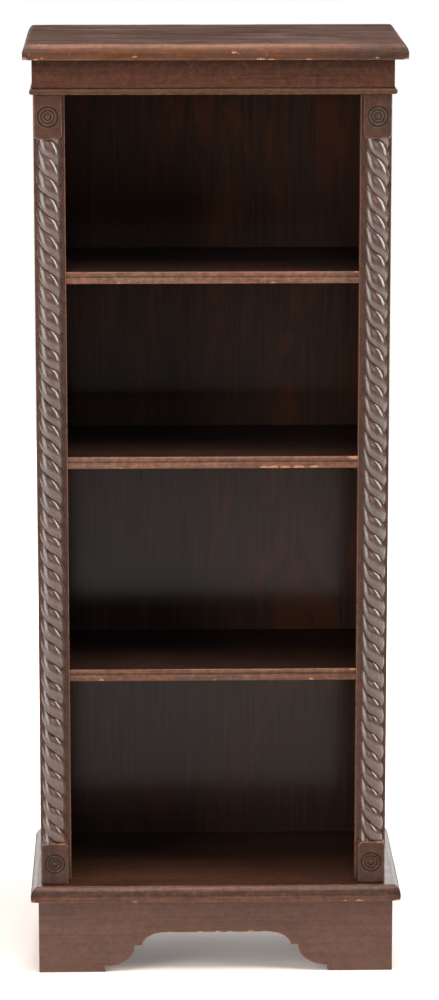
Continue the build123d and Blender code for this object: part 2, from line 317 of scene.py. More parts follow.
def wood(name, grain, colour, seed, edge=None, contrast=0.3, red=0.25, wax_bloom_and_sheen=0.1, gloss=0.42, shine=0.13,
         worn=1.0, flecks=0.0, edge_gloss=0.0, scuffs=0.0, mottled=0.3):
    """Old polished wood, its grain along an axis.

    colour is the mean albedo, edge the mouldings' albedo, contrast the grain's, red the amount of redder
    patches, mottled the polish's unevenness and wax_bloom_and_sheen the amount of pale grey patches, partly
    the bloom of old wax and partly painted sheen. gloss is the mean roughness, edge_gloss what mouldings
    take off it and shine the specular level. worn is how far rubbed edges lose colour, flecks the amount of
    pale specks, scuffs that of streaks and scratches.
    """
    n = Nodes(name)
    n.shader.inputs["Specular IOR Level"].default_value = shine
    shift = (seed, seed * 0.7, -seed * 1.3)
    stretch = ALONG[grain]
    streak = n.noise(420, stretch, detail=5, rough=0.6, warp=0.3, shift=shift)
    figure = n.noise(55, stretch, detail=3, rough=0.5, warp=0.8, shift=shift)
    pores = n.noise(1500, stretch, detail=2, rough=0.5, shift=shift)
    cloud = n.noise(9, detail=4, rough=0.6, shift=shift)
    small = n.noise(160, detail=4, rough=0.65, shift=shift)
    mottle = n.noise(210, stretch=(0.6, 0.6, 0.6), detail=6, rough=0.8, shift=shift)

    # Grain, redder patches, uneven polish, open pores, and pale patches that are partly a bloom of wax and
    # partly painted sheen.
    grainy = n.plus(n.times(streak, 0.55), n.times(figure, 0.45))
    body = colour
    if edge:
        body = n.mix(n.mark("edge"), colour, edge)
    light = n.ramp(grainy, (0.32, (1 - contrast,) * 3), (0.5, (1.0,) * 3), (0.70, (1 + contrast,) * 3))
    body = n.shade(body, light)
    patches = n.times(n.window(cloud, 0.42, 0.62), red * 2.0, clamp=True)
    body = n.mix(patches, body, n.shade(body, (1.25, 0.92, 0.75)))
    body = n.mix(n.window(mottle, 0.36, 0.64), n.shade(body, 1 - mottled), n.shade(body, 1 + mottled))
    body = n.mix(n.times(n.window(pores, 0.36, 0.30), 0.35), body, tint(colour, 0.3))
    # Pale grey patches: partly the bloom of old wax, partly painted sheen, a greyish reflection put into the
    # colour.
    bloom_and_sheen_patches = n.window(n.plus(n.times(small, 0.5), n.times(cloud, 0.5)), 0.38, 0.62)
    grey = sum(colour) / 3
    bloom_and_sheen_colour = (grey * 1.9 + 0.02, grey * 1.8 + 0.02, grey * 1.75 + 0.02)
    body = n.mix(n.times(bloom_and_sheen_patches, wax_bloom_and_sheen), body, bloom_and_sheen_colour)

    if scuffs:
        broad = n.noise(75, (0.16, 1.0, 1.0), detail=4, rough=0.65, warp=0.5, shift=shift)
        flat = n.math("SUBTRACT", 1.0, n.mark("edge"), clamp=True)
        streaks = n.ramp(broad, (0.38, (0.62,) * 3), (0.5, (1.0,) * 3), (0.62, (1.5,) * 3))
        body = n.mix(n.times(flat, scuffs), body, n.shade(body, streaks))
        scratch = n.noise(95, (0.3, 1.0, 1.0), detail=7, rough=0.8, warp=1.5, shift=(seed + 3, 1, 2))
        pale = n.times(n.window(scratch, 0.60, 0.68), n.window(cloud, 0.40, 0.60))
        body = n.mix(n.times(n.times(pale, flat), scuffs * 0.7), body, (0.20, 0.15, 0.12))

    # Rubbed arrises, broken places, and dirt and painted shade from the grime_and_shade mark, each with a
    # ragged border.
    uneven = n.math("SUBTRACT", small, 0.5)
    rubbed = n.times(n.window(n.plus(n.mark("wear"), n.times(uneven, 1.6)), 0.62, 1.25), 0.75 * worn)
    body = n.mix(rubbed, body, n.mix(0.55, tint(colour, 1.9), RAW_WOOD))
    broken = n.window(n.plus(n.mark("bare"), n.times(uneven, 0.8)), 0.4, 0.75)
    body = n.mix(broken, body, n.mix(streak, RAW_WOOD, PALE_CHIP))
    dirt_and_shade = n.times(n.mark("grime_and_shade"), n.window(small, 0.1, 0.6))
    body = n.mix(n.times(dirt_and_shade, 0.8), body, tint(colour, 0.12))
    if flecks:
        speck = n.times(n.spots(130, 0.055 * flecks, shift), n.window(cloud, 0.5, 0.6))
        body = n.mix(n.times(speck, 0.7), body, (0.5, 0.45, 0.4))

    rough = n.plus(gloss - 0.08, n.times(small, 0.16))
    rough = n.plus(rough, n.times(n.plus(rubbed, dirt_and_shade), 0.18), clamp=True)
    if edge_gloss:
        rough = n.math("SUBTRACT", rough, n.times(n.mark("edge"), edge_gloss))
    n.surface(body, rough)
    n.bump(streak, 0.12, 0.5)
    n.bump(pores, 0.08, 0.6)
    n.bump(small, 0.15, 0.35)
    return n.material


def veneer(name, colour, seed):
    """The back panel's veneer: an upright grain with slanting flame figure under a hard gloss."""
    n = Nodes(name)
    n.shader.inputs["Specular IOR Level"].default_value = 0.145
    shift = (seed, 0, seed)
    upright = n.noise(300, (1.0, 1.0, 0.03), detail=4, rough=0.6, shift=shift)
    flame = n.noise(26, (1.0, 1.0, 0.28), detail=5, rough=0.6, warp=0.9, shift=shift, lean=-28)
    cloud = n.noise(4.5, detail=2, shift=shift)
    body = n.ramp(upright, (0.3, tint(colour, 0.7)), (0.7, tint(colour, 1.3)))
    ember = (colour[0] * 2.2, colour[1] * 1.3, colour[2] * 0.8)
    glow = n.times(n.window(flame, 0.46, 0.74), n.window(cloud, 0.40, 0.62))
    body = n.mix(n.times(glow, 0.9), body, ember)
    scuffs = n.window(n.noise(120, (1.0, 1.0, 0.5), detail=5, rough=0.7, shift=shift), 0.62, 0.75)
    body = n.mix(n.times(scuffs, 0.15), body, (0.12, 0.10, 0.09))
    n.surface(body, n.plus(0.12, n.times(n.noise(40, detail=5, rough=0.65), 0.12)))
    n.bump(upright, 0.05, 0.3)
    return n.material


def pine(name, seed):
    """Plain softwood for the blocks and rails that are out of sight."""
    n = Nodes(name)
    rings = n.noise(120, ALONG["x"], detail=3, warp=0.5, shift=(seed, seed, seed))
    fine = n.noise(900, ALONG["x"], detail=3)
    body = n.ramp(rings, (0.35, (0.25, 0.15, 0.078)), (0.62, (0.36, 0.235, 0.13)))
    body = n.mix(n.times(fine, 0.35), body, (0.18, 0.105, 0.055))
    n.surface(body, n.plus(0.55, n.times(fine, 0.3)))
    n.bump(fine, 0.15, 0.5)
    return n.material


def old_steel(name):
    """Screws and pins: dull steel with spots of rust."""
    n = Nodes(name)
    spots = n.noise(700, detail=5, rough=0.7)
    body = n.ramp(spots, (0.40, (0.20, 0.19, 0.18)), (0.62, (0.16, 0.07, 0.035)))
    n.surface(body, n.plus(0.35, n.times(spots, 0.4)))
    n.put(n.window(spots, 0.62, 0.40), n.shader.inputs["Metallic"])
    n.bump(spots, 0.05, 0.5)
    return n.material


def dark_wax(name, colour):
    """The stopping over a nail, or the bottom of a small hole."""
    n = Nodes(name)
    mottle = n.noise(900, detail=3)
    body = n.ramp(mottle, (0.3, tint(colour, 0.6)), (0.7, tint(colour, 1.4)))
    n.surface(body, n.plus(0.5, n.times(mottle, 0.3)))
    n.bump(mottle, 0.1, 0.5)
    return n.material


top_wood = wood("top_wood", "x", (0.036, 0.0172, 0.0115), 1.0, edge=(0.092, 0.0335, 0.0128), contrast=0.5,
                wax_bloom_and_sheen=0.3, gloss=0.65, shine=0.09, flecks=1.0, edge_gloss=0.25, scuffs=1.0, mottled=0.2)
frieze_wood = wood("frieze_wood", "x", (0.070, 0.0260, 0.0130), 2.0, contrast=0.4, red=0.35, shine=0.10)
bead_wood = wood("bead_wood", "x", (0.054, 0.0225, 0.0104), 3.0)
bead_side_wood = wood("bead_side_wood", "y", (0.054, 0.0225, 0.0104), 3.5)
rope_wood = wood("rope_wood", "z", (0.047, 0.0230, 0.0150), 4.0, edge=(0.061, 0.0336, 0.0234), wax_bloom_and_sheen=0.12,
                 gloss=0.35, shine=0.68, flecks=0.6, edge_gloss=0.12, mottled=0.2)
block_wood = wood("block_wood", "z", (0.040, 0.0185, 0.0110), 4.0, red=0.5, shine=0.2, flecks=0.3)
stile_wood = wood("stile_wood", "z", (0.057, 0.0275, 0.0190), 5.0)
side_wood = wood("side_wood", "z", (0.090, 0.044, 0.029), 6.0, worn=0.0, mottled=0.15)
# The shelves' tops are about nine times darker than their front edge: painted shade on the tops, which lie in
# the compartments' shade.
shelf_wood_shaded_tops = wood("shelf_wood_shaded_tops", "x", (0.0135, 0.0052, 0.0030), 7.0, edge=(0.120, 0.0610, 0.0405),
                  contrast=0.5, gloss=0.4, shine=0.07)
plinth_wood = wood("plinth_wood", "x", (0.0305, 0.0108, 0.0044), 8.0, edge=(0.084, 0.0375, 0.0225),
                   contrast=0.5, gloss=0.34, shine=0.22, flecks=0.8, edge_gloss=-0.14)
apron_wood = wood("apron_wood", "x", (0.084, 0.0475, 0.0355), 9.0, contrast=0.22, mottled=0.12)
apron_side_wood = wood("apron_side_wood", "y", (0.084, 0.0475, 0.0355), 9.5, mottled=0.12)
back_veneer = veneer("back_veneer", (0.030, 0.0160, 0.0112), 3.0)
soft_wood = pine("soft_wood", 4.0)
steel = old_steel("old_steel")
black_wax = dark_wax("black_wax", (0.012, 0.009, 0.008))
brown_wax = dark_wax("brown_wax", (0.030, 0.020, 0.016))


# ---- moulded boards

# How far in from a moulded board's edge its last ring lies, and how far from its back.
DEEP, REAR_INSET = 60, 36


def edge_profile(bottom, top, inset, drop, arris, power, dirt_and_shade):
    """A moulded edge from under the board round to its top, as (inset, height, wear, grime, edge).

    dirt_and_shade is how much the fascia, the ovolo and the ovolo's lower part are darkened. On the cornice
    this is painted shade on the fascia and low on the ovolo, below the lit upper band.
    """
    profile = [(DEEP, bottom, 0, 0, 1), (20, bottom, 0, 0, 1), (6, bottom, 0, 0, 1),
               (2 * arris, bottom, 0.1, 0, 1)]
    for i, (off, z) in enumerate(round_corner((arris, bottom + arris), (arris, arris), 270, -90, 4)):
        profile.append((off, z, 1.0 if i in (1, 2, 3) else 0.45, 0, 1))
    shoulder = top - drop
    for z in steps(bottom + arris, shoulder, 1.6)[1:-1]:
        profile.append((0, z, 0.05, dirt_and_shade[0], 1))
    profile.append((0, shoulder - 0.5, 0.1, dirt_and_shade[0] * 1.2, 1))
    for i, (off, z) in enumerate(round_corner((inset, shoulder), (inset, drop), 180, -90, 11, power)):
        profile.append((off, z, 0.25 if i < 10 else 0.75, dirt_and_shade[2] if i < 5 else dirt_and_shade[1], 1))
    profile += [(inset + 0.9, top, 0.7, 0, 0.3), (inset + 2.5, top, 0, 0, 0), (inset + 14, top, 0, 0, 0),
                (DEEP, top, 0, 0, 0)]
    return profile


def moulded_board(name, material, profile, chips, seed, wave, fade):
    """A board moulded on its front and both ends, from rings that follow its outline.

    wave is how far the top arris is rubbed down in places. fade is how far from its left and right end the
    front edge starts to lose its colour.
    """
    low, high = span(name)
    skin = Skin()
    front_pitch, side_pitch, wave_length = 1.3, 3.0, 28
    across = steps(0, 1, front_pitch / (high.x - low.x))
    deep = steps(0, 1, side_pitch / (high.y - low.y))
    rings = []
    for inset, z, wear, grime_and_shade, edge in profile:
        left, right = low.x + inset, high.x - inset
        front, back = low.y + inset, high.y - REAR_INSET if inset == DEEP else high.y
        ring = [(left + (right - left) * s, front, z) for s in across]
        ring += [(right, front + (back - front) * s, z) for s in deep[1:]]
        ring += [(right + (left - right) * s, back, z) for s in across[1:]]
        ring += [(left, back + (front - back) * s, z) for s in deep[1:-1]]
        row = skin.row(ring, wear, grime_and_shade, edge=edge)
        for i, number in enumerate(row):
            place = skin.points[number]
            if i >= len(across):
                skin.marks["edge"][number] *= 0.25
                skin.marks["wear"][number] *= 0.5
            else:
                ends = min(ease((place.x - low.x) / fade[0]), ease((high.x - place.x) / fade[1]))
                skin.marks["edge"][number] *= 0.25 + 0.75 * ends
            if z > high.z - 0.01 and inset < 20:
                at = Vector((place.x / wave_length, place.y / wave_length, seed))
                place.z -= wave * max(0.0, noise.noise(at) + 0.2)
        rings.append(row)
    skin.bridge_all(rings, closed=True)
    skin.cap(rings[0])
    skin.cap(rings[-1])
    skin.wander(0.25, 45, seed)
    skin.wander(0.12, 9, seed + 3)
    skin.level(rings[0], low.z)
    skin.level(rings[-1], high.z)
    for x, up, radius, depth, inward in chips:
        skin.chip((x, low.y, low.z + up), radius, depth, inward)
    skin.keep_inside(low, high)
    make_piece(f"visual_{name}", skin, material, name, sharp=60)


# Chips are (x, height over the underside, radius, depth, direction of the cut).
UPWARDS = (0, 0.5, 1)
low, high = span("top_board")
# The cornice's fascia and the lower part of its ovolo are darkened: painted shade below the ovolo's lit upper
# band.
cornice_profile = edge_profile(low.z, high.z, 7.3, 10.4, 0.9, 1.55, (0.42, 0.0, 0.3))
cornice_chips = [
    (low.x, 0, 5, 2.0, (1, 1, 0.6)),
    (low.x + 16, 1, 1.6, 0.4, UPWARDS),
    (low.x + 24, 2, 1.4, 0.3, UPWARDS),
    (low.x + 134, 4, 2, 0.4, (0, 1, 0.3)),
    (low.x + 252, 9, 1.8, 0.3, (0, 1, 0)),
    (low.x + 285, 0, 3.5, 0.7, UPWARDS),
    (low.x + 296, 0, 2.5, 0.6, UPWARDS),
    (high.x, 0, 4, 1.4, (-1, 1, 0.6)),
    (high.x - 38, 2, 1.4, 0.3, UPWARDS),
    (high.x - 120, 0, 2.2, 0.4, UPWARDS),
]
moulded_board("top_board", top_wood, cornice_profile, cornice_chips, 1.0, 1.1, (20, 150))

low, high = span("plinth_board")
plinth_profile = edge_profile(low.z, high.z, 9.1, 11.3, 0.9, 1.9, (0.1, 0.15, 0.8))
plinth_chips = [
    (low.x, 0, 4, 1.6, (1, 1, 0.6)),
    (high.x, 0, 4, 1.4, (-1, 1, 0.6)),
    (high.x - 52, 0, 3, 0.8, UPWARDS),
    (high.x - 70, 0, 2, 0.6, UPWARDS),
    (low.x + 130, 0, 2, 0.6, UPWARDS),
]
moulded_board("plinth_board", plinth_wood, plinth_profile, plinth_chips, 2.0, 0.5, (15, 15))


# ---- runs of moulding and plain boards

def run(node, material, section, ends, chips=(), seed=0.0):
    """A closed section drawn along X: (y, z, wear, grime, edge).

    ends(y) gives where the run starts and stops. Points further back than flat_from keep their height.
    """
    skin = Skin()
    low, high = span(node)
    pitch, flat_from = 1.6, low.y + 5.5
    shares = steps(0, 1, pitch / (high.x - low.x))
    rows = []
    for y, z, wear, grime_and_shade, edge in section:
        start, stop = ends(y)
        places = [(start + (stop - start) * s, y, z) for s in shares]
        rows.append(skin.row(places, wear, grime_and_shade, edge=edge))
    skin.bridge_all([*rows, rows[0]])
    skin.cap([row[0] for row in rows])
    skin.cap([row[-1] for row in rows])
    skin.wander(0.1, 35, seed)
    for row, (y, z, *_) in zip(rows, section):
        if y > flat_from:
            skin.level(row, z)
    for at, radius, depth, inward in chips:
        skin.chip(at, radius, depth, inward)
    skin.keep_inside(low, high)
    make_piece(f"visual_{node}", skin, material, node, sharp=45)


def rounded_box(node, radius, material, seed):
    """A plain board in a node's box with softened arrises."""
    low, high = span(node)
    skin = Skin()
    size = high - low
    work = bmesh.new()
    bmesh.ops.create_cube(work, size=1.0)
    for vert in work.verts:
        vert.co = Vector((low[a] + size[a] * (vert.co[a] + 0.5) for a in range(3)))
    bmesh.ops.bevel(work, geom=list(work.edges), offset=radius, segments=4, profile=0.5, affect="EDGES")
    longest = max(range(3), key=lambda a: size[a])
    cut_pitch, touching = 12, 1e-4
    for at in steps(low[longest] + radius, high[longest] - radius, cut_pitch)[1:-1]:
        normal = Vector((0, 0, 0))
        normal[longest] = 1
        point = Vector(low)
        point[longest] = at
        everything = work.verts[:] + work.edges[:] + work.faces[:]
        bmesh.ops.bisect_plane(work, geom=everything, plane_co=point, plane_no=normal)
    for vert in work.verts:
        on_face = any(min(abs(vert.co[a] - low[a]), abs(vert.co[a] - high[a])) < touching for a in range(3))
        skin.row([vert.co], 0.0 if on_face else 1.0)
    work.verts.index_update()
    skin.faces = [tuple(v.index for v in face.verts) for face in work.faces]
    work.free()
    skin.wander(0.12, 50, seed)
    skin.keep_inside(low, high)
    make_piece(f"visual_{node}", skin, material, node, sharp=35)


# Shelves: a rounded front edge with a groove below its middle, notched round the stiles.
stile_high = span("stile_left")[1]
opening = (stile_high.x, span("stile_right")[0].x)


def shelf_section(low, high):
    """The shelf's outline from its top at the back, over the front edge and back underneath."""
    front, back, top, bottom = low.y, high.y, high.z, low.z
    notch = stile_high.y
    arris, lower_arris = 1.6, 1.3
    # The top and underside darken towards the back of the shelf: painted shade inside the compartment.
    section = [(back, top, 0, 0.3, 0), (notch + 60, top, 0, 0, 0), (notch, top, 0, 0, 0),
               (notch - 0.01, top, 0, 0, 0), (front + 6, top, 0, 0, 0), (front + 2.6, top, 0.2, 0, 0.2)]
    for i, (y, z) in enumerate(round_corner((front + arris, top - arris), (arris, arris), 90, 90, 4)):
        section.append((y, z, 0.8 if i < 4 else 0.3, 0, 1))
    # The inside of the groove is darkened: painted shade in the groove.
    groove = top - 6.2
    section += [(front, groove + 2.6, 0.1, 0.1, 1), (front + 0.05, groove + 1.4, 0.2, 0.35, 1),
                (front + 0.45, groove + 0.5, 0, 0.6, 1), (front + 0.65, groove, 0, 0.7, 1),
                (front + 0.4, groove - 0.6, 0, 0.5, 1), (front + 0.05, groove - 1.4, 0.45, 0, 1),
                (front, groove - 2.4, 0.25, 0, 1)]
    for i, (y, z) in enumerate(round_corner((front + lower_arris, bottom + lower_arris),
                                            (lower_arris, lower_arris), 180, 90, 4)):
        section.append((y, z, 0.9 if i else 0.3, 0, 1))
    section += [(front + 5, bottom, 0.1, 0, 1), (notch - 0.01, bottom, 0, 0, 0), (notch, bottom, 0, 0, 0),
                (back, bottom, 0, 0.3, 0)]
    return section


# Chips in each shelf's lower arris: distance from the left stile, and radius.
shelf_chips = {
    "upper": [(64, 2.0), (250, 2.2)],
    "middle": [(240, 3.4), (252, 4.4), (266, 4.0), (283, 4.4), (302, 3.2), (66, 1.8)],
    "lower": [(40, 2.4), (180, 2), (300, 2.4)],
}
for i, (name, places) in enumerate(shelf_chips.items()):
    node = f"shelf_{name}"
    low, high = span(node)
    chips = [((opening[0] + along, low.y, low.z), radius, 0.7, (0, 0.6, 1)) for along, radius in places]
    chips.append(((opening[1] - 4, low.y, high.z), 4.5 if name == "middle" else 2, 0.6, (0, 0.6, -1)))

    def shelf_ends(y, low=low, high=high):
        return opening if y < stile_high.y else (low.x, high.x)

    run(node, shelf_wood_shaded_tops, shelf_section(low, high), shelf_ends, chips, i + 1.0)

# Bead: a half-round nose under the frieze, mitred at the front corners.
low, high = span("bead_front")


def bead_section(nose, back, bottom, top):
    """The bead's outline, as (distance, height, wear, grime, edge): a small quirk over a round nose."""
    way = 1 if back > nose else -1
    radius = (top - bottom) / 2
    worn = (0.3, 0.5, 0.5, 0.3, 0.3, 0.4, 0.8, 0.9, 0.6)
    section = [(back, top, 0, 1, 0), (nose + way * radius, top, 0.2, 0.6, 0)]
    nose_arc = round_corner((radius, bottom + radius), (radius, radius), 90, 180, len(worn) - 1)
    for wear, (off, z) in zip(worn, nose_arc):
        section.append((nose + way * off, z, wear, 0, 0))
    section.append((back, bottom, 0, 0.2, 0))
    return section


run("bead_front", bead_wood, bead_section(low.y, high.y, low.z, high.z),
    lambda y: (low.x + (y - low.y), high.x - (y - low.y)), seed=4.0)


def side_bead(side, sign):
    """The bead along one side of the case, mitred to the front one."""
    node = f"bead_{side}"
    low, high = span(node)
    panel_low, panel_high = span(f"side_panel_{side}")
    nose, case_face = (low.x, panel_low.x) if sign < 0 else (high.x, panel_high.x)
    skin = Skin()
    rows = []
    for x, z, wear, grime_and_shade, _ in bead_section(nose, case_face, low.z, high.z):
        start = low.y + abs(x - nose)
        rows.append(skin.row([(x, start + (high.y - start) * s, z) for s in steps(0, 1, 0.03)], wear, grime_and_shade))
    skin.bridge_all([*rows, rows[0]])
    skin.cap([row[0] for row in rows])
    skin.cap([row[-1] for row in rows])
    skin.wander(0.1, 35, 5.0 + sign)
    skin.keep_inside(low, high)
    make_piece(f"visual_{node}", skin, bead_side_wood, node, sharp=45)


side_bead("left", -1)
side_bead("right", 1)


def frieze_section(low, high):
    """The frieze from its top at the back, down its face and back underneath."""
    front, back, top, bottom = low.y, high.y, high.z, low.z
    # The face darkens towards the top and its top arris is darkened: painted shadow of the cornice. The
    # bottom arris is darkened where it meets the bead.
    section = [(back, top, 0, 0, 0), (front + 1, top, 0, 0.9, 0), (front, top - 0.7, 0, 1, 0)]
    for z in steps(top - 2, bottom + 3, 2.5):
        section.append((front, z, 0, 0.95 * ease((z - bottom - 6) / (top - bottom - 6)), 0))
    section += [(front, bottom + 1.2, 0.2, 0.1, 0), (front + 0.3, bottom + 0.3, 0.5, 0.8, 0),
                (front + 1, bottom, 0, 0.9, 0), (back, bottom, 0, 0, 0)]
    return section


low, high = span("frieze_board")
run("frieze_board", frieze_wood, frieze_section(low, high), lambda y: (low.x, high.x), seed=1.5)
rounded_box("stile_left", 1.0, stile_wood, 2.5)
rounded_box("stile_right", 1.0, stile_wood, 3.5)


# ---- plinth

# The plinth's front corners are rounded by this much, and the top of its arch stands at this height.
PLINTH_CORNER = 1.2
ARCH_TOP = 51.5


def arch_outline(low, high):
    """The apron's outline seen from the front, anticlockwise from its lower left corner.

    Half widths of the arch: foot at the floor, ovolo and cove where its mouldings meet the shoulder, and flat
    at the top. Heights: step, where the ovolo starts, shoulder and ARCH_TOP.
    """
    middle = 1.0
    foot, ovolo, cove, flat = 139.5, 102.0, 93.0, 64.0
    step, shoulder = 7.5, 34.5
    half = [(foot, z) for z in steps(0, step, 2)[:-1]]
    half += round_corner((foot, shoulder), (foot - ovolo, shoulder - step), 270, -90, 18)
    half += [(x, shoulder) for x in steps(ovolo, cove, 2)[1:-1]]
    half += round_corner((flat, shoulder), (cove - flat, ARCH_TOP - shoulder), 0, 90, 14)
    half += [(x, ARCH_TOP) for x in steps(flat, 0, 2)[1:]]
    left = [(middle - x, z) for x, z in half]
    right = [(middle + x, z) for x, z in reversed(half[:-1])]
    outline = [(x, low.z) for x in steps(low.x, middle - foot, 2)[:-1]] + left + right
    outline += [(x, low.z) for x in steps(middle + foot, high.x, 2)[1:-1]]
    outline += [(high.x, z) for z in steps(low.z, high.z, 3)[:-1]]
    outline += [(x, high.z) for x in steps(high.x, low.x, 4)[:-1]]
    outline += [(low.x, z) for z in steps(high.z, low.z, 3)[:-1]]
    return [Vector(p) for p in outline]


def shrink(outline, amount):
    """Move an anticlockwise outline inwards by amount."""
    moved = []
    count = len(outline)
    for i, point in enumerate(outline):
        before = (point - outline[i - 1]).normalized()
        after = (outline[(i + 1) % count] - point).normalized()
        bisector = Vector((-before.y - after.y, before.x + after.x))
        if bisector.length < 1e-6:
            moved.append(point.copy())
            continue
        bisector.normalize()
        across = max(0.4, bisector.dot(Vector((-before.y, before.x))))
        moved.append(point + bisector * amount / across)
    return moved


def corner_round(x, low_x, high_x, radius):
    """How far the front face falls back where the corner of the plinth is rounded."""
    over = max(0.0, radius - min(x - low_x, high_x - x))
    return radius - math.sqrt(max(0.0, radius * radius - over * over)) if over else 0.0


def apron():
    """The plinth's front board, with a softened arris all round the arch."""
    low, high = span("apron_front")
    outline = arch_outline(low, high)
    skin = Skin()
    rings = []
    arris = 1.0
    levels = [(3.0, 0, 0.0), (1.6, 0, 0.2)]
    for i in range(4):
        a = math.pi / 2 * i / 3
        levels.append((arris * (1 - math.sin(a)), arris * (1 - math.cos(a)), 1.0 if i < 3 else 0.6))
    levels += [(0, 3.0, 0.1), (0, 8.0, 0), (0, high.y - low.y, 0)]
    for inset, back, wear in levels:
        ring = []
        for x, z in shrink(outline, inset):
            y = low.y + max(back, corner_round(x, low.x, high.x, PLINTH_CORNER))
            mitre = high.x - (y - low.y) * 0.999
            ring.append((max(-mitre, min(mitre, x)), y, z))
        rings.append(skin.row(ring, wear))
    skin.bridge_all(rings, closed=True)
    skin.cap(rings[0])
    skin.cap(rings[-1])
    for i, place in enumerate(skin.points):
        if place.z > high.z - 4 or abs(place.x) > high.x - 4:
            skin.marks["wear"][i] *= 0.5
        if -40 < place.x < 90 and 46 < place.z < 56:
            skin.marks["wear"][i] = min(1.0, skin.marks["wear"][i] * 1.5)
    skin.wander(0.15, 40, 7.0)
    for along, radius in ((-20, 2.5), (2, 3), (18, 2.5), (44, 3), (60, 2.5), (-58, 2)):
        skin.chip((along, low.y, ARCH_TOP), radius, 0.8, (0, 0.7, 1))
    for number in (*rings[0], *rings[-1]):
        skin.marks["bare"][number] = skin.marks["wear"][number] = 0.0
        skin.points[number].y = low.y if number in rings[0] else high.y
    skin.keep_inside(low, high)
    make_piece("visual_apron_front", skin, apron_wood, "apron_front", sharp=45)


def plinth_end(side, sign):
    """One end of the plinth, mitred to the apron, with the shared corner softly rounded."""
    node = f"plinth_side_{side}"
    low, high = span(node)
    outer, inner = (low.x, high.x) if sign < 0 else (high.x, low.x)
    skin = Skin()
    arris = 0.9
    rings = []
    profile = [(outer, 3.0, 0.0), (outer, arris, 0.4), (outer - sign * 0.25, 0.25, 1.0),
               (outer - sign * arris, 0.0, 0.4), (inner, 0.0, 0.0)]
    for x, rise, wear in profile:
        first = low.y + abs(x - outer) + (PLINTH_CORNER - 0.85 if x == outer else 0)
        last = high.y - rise * 0.5
        bottom, top = low.z + rise, high.z - rise * 0.3
        ring = [(x, first + (last - first) * s, bottom) for s in steps(0, 1, 0.02)]
        ring += [(x, last, bottom + (top - bottom) * s) for s in steps(0, 1, 0.04)[1:]]
        ring += [(x, last + (first - last) * s, top) for s in steps(0, 1, 0.02)[1:]]
        ring += [(x, first, top + (bottom - top) * s) for s in steps(0, 1, 0.04)[1:-1]]
        rings.append(skin.row(ring, wear))
    skin.bridge_all(rings, closed=True)
    skin.cap(rings[0])
    skin.cap(rings[-1])
    skin.wander(0.12, 40, 8.0 + sign)
    skin.keep_inside(low, high)
    make_piece(f"visual_{node}", skin, apron_side_wood, node, sharp=45)


apron()
plinth_end("left", -1)
plinth_end("right", 1)


# ---- rope pilasters

ROPE_RADIUS = 14.4
ROPE_VALLEY = 10.4
ROPE_STARTS = 3
BLOCK_HEIGHT = 53.5
STRAND_SPACING = 23.2
RING_RADII = (4.0, 7.8, 12.1)
RING_WIDTHS = (1.25, 1.15, 0.9)
# Where the rows of points lie on a strand, closer together in the valleys.
STRAND_ROWS = (0.0, 0.02, 0.045, 0.08, 0.13, 0.19, 0.26, 0.34, 0.42, 0.5, 0.58, 0.66, 0.74, 0.81, 0.87, 0.92,
               0.955, 0.98)


